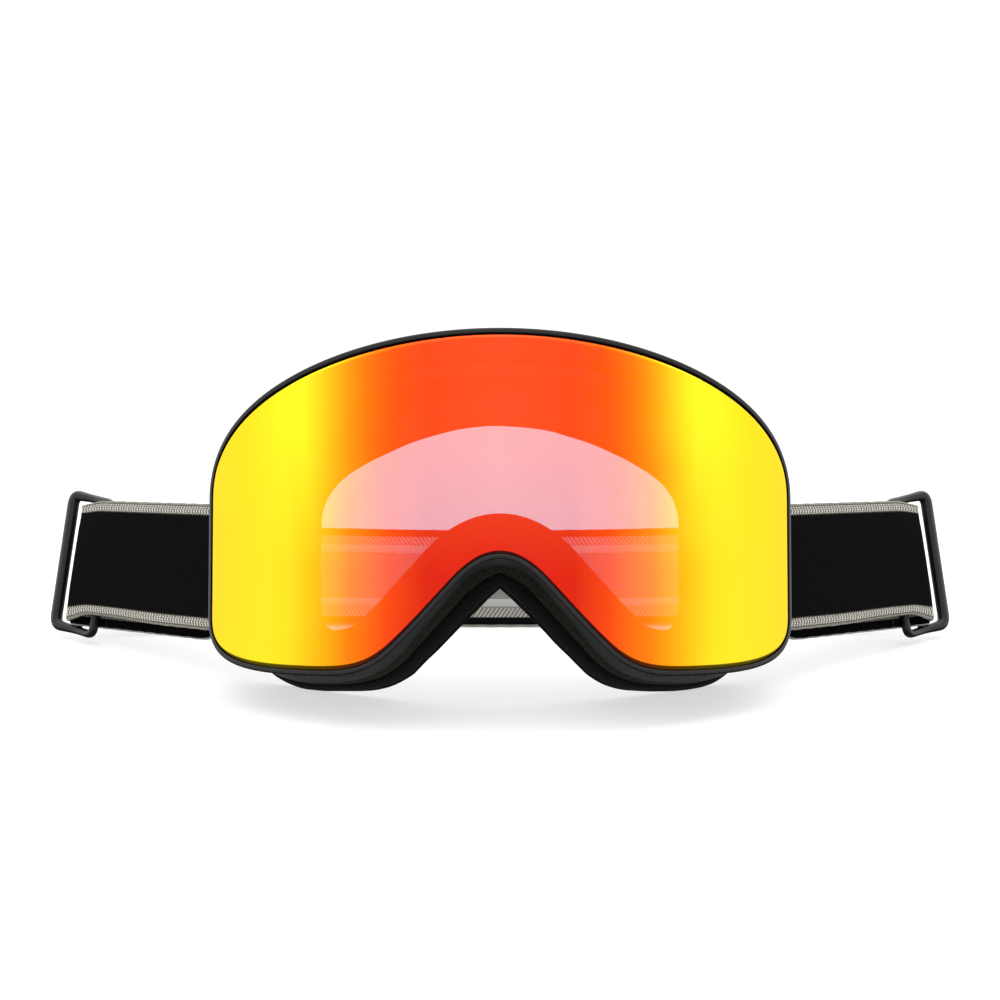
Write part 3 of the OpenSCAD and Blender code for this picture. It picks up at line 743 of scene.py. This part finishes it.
# ---------------------------------------------------------------------------------------------
# Strap
# ---------------------------------------------------------------------------------------------
EAR = np.array(MOUNTS["strap_ear_right"]["pos_m"]) / MM
U_AXIS = -unit(np.array(JOINTS["adjuster_right_slide"]["axis"], float))
H_AXIS = unit(np.array(MOUNTS["strap_ear_right"]["axis"], float))
V_AXIS = np.cross(H_AXIS, U_AXIS)
WRAP_R = EAR_BAR_R + SLACK + STRAP_T / 2
SEWN_R = BAR_B_R + 0.15 + STRAP_T / 2
TURN_R = SEWN_R + STRAP_T + SLACK
BAR_B = np.array([ADJUSTER_U, TURN_R - WRAP_R])
BAR_A, BAR_C = BAR_B + BAR_A_STEP, BAR_B + BAR_C_STEP
UNDER_C = BAR_C[1] + BAR_C_R + 0.2 + STRAP_T / 2
RETURN_U, FLAP_U = ADJUSTER_U - 15, ADJUSTER_U - 27


def side_points(line, h=0.0):
    line = np.asarray(line, float)
    return EAR + line[:, :1] * U_AXIS + line[:, 1:2] * V_AXIS + np.reshape(h, (-1, 1)) * H_AXIS


def arc(centre, r, start, end, n):
    a = np.radians(np.linspace(start, end, n + 1))
    return np.column_stack([centre[0] + r * np.cos(a), centre[1] + r * np.sin(a)])


def tangents(p):
    return unit(np.gradient(p, axis=0))


def lengths(p):
    return np.concatenate([[0], np.cumsum(np.linalg.norm(np.diff(p, axis=0), axis=1))])


def resampled(p, spacing):
    s = lengths(p)
    at = np.linspace(0, s[-1], max(2, int(round(s[-1] / spacing))) + 1)
    return np.column_stack([np.interp(at, s, p[:, k]) for k in range(p.shape[1])])


class Run:
    """A stretch of webbing: centres, width and inward directions, and distance along."""

    def __init__(self, centre, wide, inward, along):
        self.centre, self.wide, self.inward, self.along = centre, wide, inward, along

    def cut(self, keep):
        return Run(self.centre[keep], self.wide[keep], self.inward[keep], self.along[keep])

    def mirrored(self):
        flip = np.array([-1, 1, 1])
        return Run((self.centre * flip)[::-1], (self.wide * flip)[::-1], (self.inward * flip)[::-1],
                   self.along[::-1])

    def __add__(self, other):
        return Run(*(np.concatenate([getattr(self, k), getattr(other, k)])
                     for k in ("centre", "wide", "inward", "along")))


def flat_run(line, inward_sign, drop=0.0, offset=0.0):
    """A run drawn in the side plane."""
    t = tangents(line)
    inward = inward_sign * (-t[:, 1:2] * U_AXIS + t[:, :1] * V_AXIS)
    centre = side_points(line, -np.broadcast_to(drop, len(line)).astype(float))
    wide = np.repeat(H_AXIS[None], len(line), 0)
    return Run(centre, wide, inward, lengths(line) + offset)


SIDE_U = np.arange(0.5, ADJUSTER_U, 0.5)
SIDE_LINE = np.vstack([
    arc((0, 0), WRAP_R, 90, 270, 24),
    np.column_stack([SIDE_U, np.full(len(SIDE_U), -WRAP_R)]),
    arc(BAR_B, TURN_R, -90, TURN - 90, 26)])
SIDE = flat_run(SIDE_LINE, 1)

# Back of the strap: leans back and rests on its lower edge in the middle
_lean = math.radians(BACK_LEAN)
BACK_AXIS = np.array([0, math.sin(_lean), math.cos(_lean)])
_back_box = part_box("strap_back")
_rest_y = _back_box[1].y / MM - STRAP_W * math.sin(_lean) - STRAP_T / 2 * math.cos(_lean)
BACK_MID = np.array([0, _rest_y, STRAP_T / 2 * math.sin(_lean)]) + BACK_AXIS * STRAP_W / 2


def back_run():
    start = side_points(SIDE_LINE[-1:])[0]
    way = tangents(SIDE_LINE)[-1]
    tangent = way[0] * U_AXIS + way[1] * V_AXIS
    curve = [start, start + 34 * tangent, BACK_MID + [58, 0, 0], BACK_MID]
    t = np.linspace(0, 1, 300)
    centre = cubic(curve, t)
    d = tangents(centre)
    k = smooth(t / BACK_SETTLES)[:, None]
    wide = (1 - k) * H_AXIS + k * BACK_AXIS
    wide = unit(wide - np.sum(wide * d, axis=1, keepdims=True) * d)
    return Run(centre, wide, np.cross(wide, d), SIDE.along[-1] + lengths(centre)), t


BACK, BACK_T = back_run()
ACROSS = 72
TURN_S = SIDE.along[25 + int(ADJUSTER_U / 0.5)]     # distance along the strap where the turn starts


def curl_at_turn(h, s):
    """How far the strap's corners leave their place where it turns over the adjuster: along the
    run, across it and inwards, in millimetres, for each section and each place across."""
    near = smooth((s - (TURN_S - 13)) / 19) * (1 - smooth((s - (TURN_S + 14)) / 16))
    rise = smooth((s - (TURN_S - 60)) / 40) * (1 - smooth((s - (TURN_S - 12)) / 14))
    top = np.clip((h - 4) / 16, 0, 1) ** 2.4
    low = np.clip((-h - 8) / 12, 0, 1) ** 2
    back = near[:, None] * (0.7 * np.clip((2 - h) / 14, 0, 1) - 4.4 * top)
    lift = (-2.4 * near[:, None] * top) + (1.1 * rise - 1.9 * near)[:, None] * low
    inward = 1.4 * near[:, None] * top + 0.4 * near[:, None] * low
    return back, lift, inward


def webbing_piece(name, run, body, nodes, width=STRAP_W, ripple=0.05, ends=(True, True), curl=False):
    """Knitted webbing with thinner, slightly wavy edges; ends says which ends are closed."""
    h = np.linspace(-1, 1, ACROSS + 1) * width / 2
    n, m = len(run.centre), len(h)
    inside = np.clip((width / 2 - np.abs(h)) / 0.7, 0, 1)
    half = STRAP_T / 2 * (0.45 + 0.55 * np.sqrt(1 - (1 - inside) ** 2))
    wave = 1 + ripple / 20 * np.sin(run.along * 0.9)[:, None] * (np.abs(h) > 19)
    run_along = run.along[:, None]
    pucker = ripple * (np.sin(run_along * 0.55 + h * 0.35) * 0.5 + np.sin(run_along * 0.21 - h * 0.6) * 0.5)
    centre = run.centre[:, None] + run.wide[:, None] * (h * wave)[..., None]
    if curl:
        back, lift, inward = curl_at_turn(h, run.along)
        forward = np.cross(run.wide, run.inward) * curl
        centre = (centre + forward[:, None] * back[..., None] + run.wide[:, None] * lift[..., None]
                  + run.inward[:, None] * inward[..., None])
    outer = centre - run.inward[:, None] * (half + pucker * 0.5)[..., None]
    inner = centre + run.inward[:, None] * (half - pucker * 0.5)[..., None]
    points = np.vstack([outer.reshape(-1, 3), inner.reshape(-1, 3)])
    i, j = np.meshgrid(np.arange(n - 1), np.arange(m - 1), indexing="ij")
    a = (i * m + j).ravel()
    total = n * m
    front = np.column_stack([a, a + m, a + m + 1, a + 1])
    back = np.column_stack([a, a + 1, a + m + 1, a + m]) + total
    rim = []
    for c in range(n - 1):
        low, high = c * m, c * m + m - 1
        rim += [(low, low + total, low + m + total, low + m),
                (high, high + m, high + m + total, high + total)]
    caps = []
    for r in range(m - 1):
        e = (n - 1) * m + r
        caps += [(r, r + 1, r + 1 + total, r + total)] if ends[0] else []
        caps += [(e + 1, e, e + total, e + 1 + total)] if ends[1] else []
    faces = front.tolist() + back.tolist() + rim + caps
    index = [0] * len(front) + [1] * len(back) + [0] * (len(rim) + len(caps))
    along = np.tile(np.repeat(run.along, m), 2)
    across = np.tile(np.tile(h, n), 2)
    obj = new_piece(name, points, faces, ["webbing_out", "webbing_in"], index,
                    {"along": along, "across": across})
    fix_normals(obj)
    return finish_piece(obj, body, nodes)


def blend_along(obj, direction, start, end):
    direction = unit(np.asarray(direction, float))
    tuple(direction * start * MM)
    tuple(direction * end * MM)
    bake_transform(obj)


def run_for(side, run):
    """The right side as it is, or its mirror image for the left."""
    return run if side == "right" else run.mirrored()


def build_strap_side(side):
    """Front run, turn and return run of one side, and where the back run starts."""
    flip = np.array([1 if side == "right" else -1, 1, 1])
    line_u = SIDE_LINE[:, 0]
    straight = (np.arange(len(line_u)) < 24) | (line_u < RIGID_U + 0.01)
    straight[25 + int(ADJUSTER_U / 0.5):] = False
    at = np.flatnonzero(straight)[-1]
    ply = SIDE.cut(slice(0, at + 1))
    upto = np.flatnonzero(BACK_T <= BACK_SPLIT)[-1]
    bend = SIDE.cut(slice(at, None)) + BACK.cut(slice(1, upto + 1))
    u_start = EAR @ U_AXIS
    first = side == "left"       # the left runs are listed from the back to the ear
    sign = 1 if side == "right" else -1
    front = webbing_piece(f"strap_front_run_{side}", run_for(side, ply), None, [f"strap_side_{side}"],
                          ends=(not first, first), curl=sign)
    blend_along(front, U_AXIS * flip, u_start + 6, u_start + RIGID_U)
    turn = webbing_piece(f"strap_turn_{side}", run_for(side, bend), None, [], ends=(False, False),
                         curl=sign)
    way = unit(np.array([-0.5, 0.87, 0]))
    rigid = bend.centre[: len(SIDE_LINE) - at]
    start = (rigid @ way).max() + 3
    last = bend.centre[-1] @ way - abs(bend.wide[-1] @ way) * STRAP_W / 2 - 1
    blend_along(turn, way * flip, start, last)
    u = np.linspace(0.4, RETURN_U, 180)
    v = WRAP_R + (UNDER_C - WRAP_R) * smooth((u - 0.4) / (RETURN_U - 0.4))
    back = flat_run(np.column_stack([u, v]), -1, RETURN_DROP * smooth(u / 14))
    back.along = back.along[::-1].copy() - 8
    piece = webbing_piece(f"strap_return_run_{side}", run_for(side, back), None, [f"strap_return_{side}"])
    blend_along(piece, U_AXIS * flip, u_start + 6, u_start + RIGID_U)
    return bend, upto


def sewn_line():
    """Line of the sewn end, from the return run round bar b and back on itself."""
    line = np.vstack([
        [(RETURN_U + 0.1, UNDER_C), (BAR_C[0], UNDER_C), (BAR_B[0] - 5.2, BAR_B[1])],
        arc(BAR_B, SEWN_R, -115, 90, 16),
        [(BAR_C[0] + 3, UNDER_C + STRAP_T + 0.15), (BAR_C[0] - 3, UNDER_C + STRAP_T + 0.1),
         (FLAP_U, UNDER_C + STRAP_T + 0.1)]])
    return resampled(line, 0.5)


def stitches(side):
    """A zigzag of thread across the flap, in short tacks."""
    flip = np.array([1 if side == "right" else -1, 1, 1])
    points, faces = [], []
    base_v = UNDER_C + 1.5 * STRAP_T + 0.25
    for h in (-16, -8, 0, 8, 16):
        for k in range(12):
            low = np.array([FLAP_U + 2.2 + (k % 2) * 1.6, base_v, h - 2.6 + k * 0.45 - RETURN_DROP])
            high = np.array([FLAP_U + 3.8 - (k % 2) * 1.6, base_v, h - 2.3 + k * 0.45 - RETURN_DROP])
            ts = np.linspace(0, 1, 7)
            mid = low + (high - low) * ts[:, None]
            mid[:, 1] += 0.16 * np.sin(ts * math.pi) - 0.12
            across = unit(np.cross(high - low, [0, 1, 0]))
            base = sum(len(p) for p in points)
            shape = []
            for q in mid:
                for a in np.radians(np.arange(0, 360, 60)):
                    shape.append(q + 0.17 * (math.cos(a) * across + math.sin(a) * np.array([0, 1, 0])))
            points.append(np.array(shape))
            for r in range(6):
                for c in range(6):
                    p, q = base + r * 6 + c, base + r * 6 + (c + 1) % 6
                    faces.append((p, q, q + 6, p + 6))
            faces += [[base + c for c in range(5, -1, -1)], [base + 36 + c for c in range(6)]]
    flat = np.vstack(points)
    placed = EAR + flat[:, :1] * U_AXIS + flat[:, 1:2] * V_AXIS + flat[:, 2:3] * H_AXIS
    obj = new_piece(f"tack_threads_{side}", placed * flip, faces, ["thread"])
    fix_normals(obj)
    return finish_piece(obj, "adjuster_" + side[0], [f"bartack_{side}"])


def tube(path, radii, up, closed=False, sides=20):
    """A tube along a path, with half sizes (across, through) at each point."""
    path = np.asarray(path, float)
    if closed:
        t = unit(np.roll(path, -1, 0) - np.roll(path, 1, 0))
    else:
        t = tangents(path)
    up = np.broadcast_to(np.asarray(up, float), path.shape)
    side = unit(np.cross(t, up))
    over = np.cross(side, t)
    a = np.linspace(0, 2 * math.pi, sides, endpoint=False)
    ca, sa = np.sign(np.cos(a)) * np.abs(np.cos(a)) ** 0.8, np.sign(np.sin(a)) * np.abs(np.sin(a)) ** 0.8
    radii = np.broadcast_to(np.asarray(radii, float), (len(path), 2))
    points = (path[:, None] + side[:, None] * (radii[:, :1] * ca)[..., None]
              + over[:, None] * (radii[:, 1:] * sa)[..., None]).reshape(-1, 3)
    n = len(path)
    faces = []
    for i in range(n if closed else n - 1):
        j = (i + 1) % n
        faces += [(i * sides + k, i * sides + (k + 1) % sides, j * sides + (k + 1) % sides, j * sides + k)
                  for k in range(sides)]
    if not closed:
        faces += [list(range(sides))[::-1], [(n - 1) * sides + k for k in range(sides)]]
    return points, faces


def fused(name, parts, voxel, material):
    """Several closed shapes grown into one smooth moulding."""
    base, points, faces = 0, [], []
    for p, f in parts:
        points.append(p)
        faces += [[i + base for i in face] for face in f]
        base += len(p)
    obj = new_piece(name, np.vstack(points), faces, [material])
    fix_normals(obj)
    grow = obj.modifiers.new("fuse", "REMESH")
    grow.mode, grow.voxel_size, grow.use_smooth_shade = "VOXEL", voxel * MM, True
    ease = obj.modifiers.new("ease", "SMOOTH")
    ease.factor, ease.iterations = 0.5, 5
    apply_modifiers(obj)
    return obj


def corner_path(points, radius, steps=6):
    """A closed path through points, with its corners rounded."""
    p = np.asarray(points, float)
    out = []
    for j, c in enumerate(p):
        a, b = p[j - 1] - c, p[(j + 1) % len(p)] - c
        ra, rb = min(radius, 0.48 * np.linalg.norm(a)), min(radius, 0.48 * np.linalg.norm(b))
        q, r = c + unit(a) * ra, c + unit(b) * rb
        out += [(1 - t) ** 2 * q + 2 * t * (1 - t) * c + t * t * r for t in np.linspace(0, 1, steps + 1)]
    return np.array(out)


def build_adjuster(side):
    """A rounded frame round bars a and c, fused with bar b."""
    flip = np.array([1 if side == "right" else -1, 1, 1])
    top = (WINDOW_H + ARM_H) / 2 - 0.1

    def at(uv, h):
        slope = (uv[0] - BAR_A[0]) * math.tan(math.radians(ARM_TILT))
        return EAR + uv[0] * U_AXIS + uv[1] * V_AXIS + (h - ADJUSTER_DROP + slope) * H_AXIS

    path = corner_path([at(BAR_A, -top), at(BAR_A, top), at(BAR_B, top), at(BAR_C, top),
                        at(BAR_C, -top), at(BAR_B, -top)], 3.4, 8)
    share = np.clip(((path - at(BAR_C, 0)) @ U_AXIS) / ((BAR_A - BAR_C)[0]), 0, 1)
    sizes = np.column_stack([1.35 + 0.8 * share ** 4, 1.5 + 0.35 * share ** 4])
    outer = tube(path * flip, sizes, V_AXIS * flip, closed=True, sides=24)
    bar = tube(np.array([at(BAR_B, h) for h in np.linspace(-top, top, 12)]) * flip,
               (BAR_B_R, BAR_B_R), V_AXIS * flip)
    obj = fused(f"strap_adjuster_{side}", [outer, bar], 0.28, "adjuster_plastic")
    finish_piece(obj, "adjuster_" + side[0], [f"adjuster_{side}"])


EAR_ROOT = np.array([-9.5, -4.8])


def build_ear(side):
    """A loop for the strap, fused with the plate that joins it to the frame."""
    flip = np.array([1 if side == "right" else -1, 1, 1])
    top = (WINDOW_H + ARM_H) / 2

    def at(uv, h):
        return EAR + uv[0] * U_AXIS + uv[1] * V_AXIS + h * H_AXIS

    root = EAR_ROOT - [0.6, 0]
    path = corner_path([at((0, 0), -top), at((0, 0), top), at(root, top), at(root, -top)], 3.0, 8)
    loop = tube(path * flip, (2.2, 2.3), V_AXIS * flip, closed=True)
    plate = tube(np.array([at(root, h) for h in np.linspace(-top, top, 10)]) * flip,
                 (1.8, 3.1), V_AXIS * flip)
    obj = fused(f"frame_ear_{side}", [loop, plate], 0.4, "frame_tpu")
    finish_piece(obj, "goggles", [f"ear_{side}"])


STRIPE_START = 50      # sections of the back run before the silicone stripes start


def build_strap():
    """Both sides, the back run and the two silicone stripes on its inside."""
    for side in ("left", "right"):
        bend, upto = build_strap_side(side)
        end = flat_run(sewn_line(), -1, RETURN_DROP)
        end.along = end.along[::-1].copy()
        webbing_piece(f"strap_sewn_end_{side}", run_for(side, end), "adjuster_" + side[0],
                      [f"sewn_end_{side}"])
        stitches(side)
        build_adjuster(side)
        build_ear(side)
    half = BACK.cut(slice(upto, None))
    other = half.mirrored()
    other.along = 2 * half.along[-1] - other.along
    whole_back = half + other.cut(slice(1, None))
    webbing_piece("strap_back_run", whole_back, "goggles", ["strap_back"], ends=(False, False))
    keep = slice(STRIPE_START, len(whole_back.centre) - STRIPE_START)
    stripe_run = whole_back.cut(keep)
    points, faces = [], []
    for rise in (-11, 11):
        h = np.linspace(-1.8, 1.8, 9) + rise
        crown = 0.3 * np.sqrt(np.clip(1 - ((h - rise) / 1.85) ** 2, 0, 1))
        face = stripe_run.centre[:, None] + stripe_run.wide[:, None] * h[None, :, None]
        under = face + stripe_run.inward[:, None] * (STRAP_T / 2 + 0.02)
        over = under + stripe_run.inward[:, None] * crown[None, :, None]
        base = sum(len(p) for p in points)
        n, m = len(stripe_run.centre), len(h)
        points.append(np.vstack([over.reshape(-1, 3), under.reshape(-1, 3)]))
        for i in range(n - 1):
            for j in range(m - 1):
                a = base + i * m + j
                faces.append((a, a + m, a + m + 1, a + 1))
                b = a + n * m
                faces.append((b, b + 1, b + m + 1, b + m))
            for a in (base + i * m, base + i * m + m - 1):
                faces.append((a, a + n * m, a + m + n * m, a + m))
        for row in (0, n - 1):
            a = base + row * m
            faces += [(a + j, a + j + 1, a + j + 1 + n * m, a + j + n * m) for j in range(m - 1)]
    obj = new_piece("strap_grip_stripes", np.vstack(points), faces, ["silicone"])
    fix_normals(obj)
    finish_piece(obj, "goggles", ["grip_stripes"])


# ---------------------------------------------------------------------------------------------
# Stage
# ---------------------------------------------------------------------------------------------
CAMERA_DISTANCE, CAMERA_ELEVATION, CAMERA_LENS = 0.600, 8.5, 75.9


def build_camera():
    e = math.radians(CAMERA_ELEVATION)
    aim = Vector(ORIGIN * MM)
    back = Vector((0, -math.cos(e), math.sin(e)))
    data = bpy.data.cameras.new("camera")
    data.lens, data.sensor_width = CAMERA_LENS, 36
    data.clip_start, data.clip_end = 0.01, 20
    camera = bpy.data.objects.new("camera", data)
    camera.location = aim + back * CAMERA_DISTANCE
    camera.rotation_mode = "QUATERNION"
    camera.rotation_quaternion = (-back).to_track_quat("-Z", "Y")
    bpy.context.scene.collection.objects.link(camera)
    bpy.context.scene.camera = camera


def area_light(name, place, aim, size, power):
    data = bpy.data.lights.new(name, "AREA")
    data.shape, data.size, data.size_y, data.energy = "RECTANGLE", size[0], size[1], power
    lamp = bpy.data.objects.new(name, data)
    lamp.location = place
    lamp.visible_glossy = False
    lamp.rotation_mode = "QUATERNION"
    lamp.rotation_quaternion = (Vector(aim) - Vector(place)).to_track_quat("-Z", "Y")
    bpy.context.scene.collection.objects.link(lamp)


# What a glossy surface sees of the studio, from straight down (0) to straight up (1), as shares
# of SHINE_TOP: dark below, even round the horizon, and a bright ceiling
SHINE = ((0.0, 0.08), (1.0, 1.0), (0.36, 0.1), (0.42, 0.52), (0.72, 0.52), (0.84, 1.0))
SHINE_TOP = 3.5


def build_stage():
    mesh = bpy.data.meshes.new("floor")
    mesh.from_pydata([(-6, -6, 0), (6, -6, 0), (6, 6, 0), (-6, 6, 0)], [], [(0, 1, 2, 3)])
    floor = bpy.data.objects.new("floor", mesh)
    t = Tree("floor_paper")
    grain = t.noise(400.0)
    paper = t.mix(grain, (0.38, 0.38, 0.38, 1), (0.42, 0.42, 0.42, 1))
    mesh.materials.append(t.surface(Base_Color=paper, Roughness=0.9, Specular_IOR_Level=0.1,
                                    Emission_Color=(1, 1, 1, 1), Emission_Strength=0.62))
    bpy.context.scene.collection.objects.link(floor)
    floor.visible_glossy = False
    world = bpy.data.worlds.new("studio")
    world.use_nodes = True
    nt = world.node_tree
    sky = nt.nodes["Background"]
    sky.inputs[0].default_value = (1, 1, 1, 1)
    path = nt.nodes.new("ShaderNodeLightPath")
    height = nt.nodes.new("ShaderNodeSeparateXYZ")
    nt.links.new(nt.nodes.new("ShaderNodeTexCoord").outputs["Generated"], height.inputs[0])
    shine = nt.nodes.new("ShaderNodeFloatCurve")
    curve = shine.mapping.curves[0]
    for point, (at, value) in zip(curve.points, SHINE):
        point.location = (at, value)
    for at, value in SHINE[2:]:
        curve.points.new(at, value)
    shine.mapping.update()
    upright = nt.nodes.new("ShaderNodeMapRange")
    upright.inputs["From Min"].default_value = -1
    nt.links.new(height.outputs[2], upright.inputs["Value"])
    nt.links.new(upright.outputs[0], shine.inputs["Value"])
    full = nt.nodes.new("ShaderNodeMath")
    full.operation, full.inputs[1].default_value = "MULTIPLY", SHINE_TOP
    nt.links.new(shine.outputs[0], full.inputs[0])
    bright = nt.nodes.new("ShaderNodeMix")
    bright.inputs[2].default_value = 1.0
    nt.links.new(path.outputs["Is Glossy Ray"], bright.inputs[0])
    nt.links.new(full.outputs[0], bright.inputs[3])
    nt.links.new(bright.outputs[0], sky.inputs[1])
    bpy.context.scene.world = world
    area_light("key", (-0.3, -0.3, 1.0), (0, 0, 0.05), (1.0, 1.0), 7)
    area_light("fill", (0.5, 0.2, 0.9), (0, 0, 0.05), (0.8, 0.8), 4)
    bpy.context.scene.view_settings.view_transform = "Standard"


# ---------------------------------------------------------------------------------------------
build_camera()
build_lens_unit()
build_frame()
build_vent_foam()
build_foam()
build_strap()
for magnets in ("carrier_magnets", "frame_magnets"):
    node = frame["nodes"][magnets]
    node.data.materials.clear()
    node.data.materials.append(MATERIALS["magnet"])
build_stage()
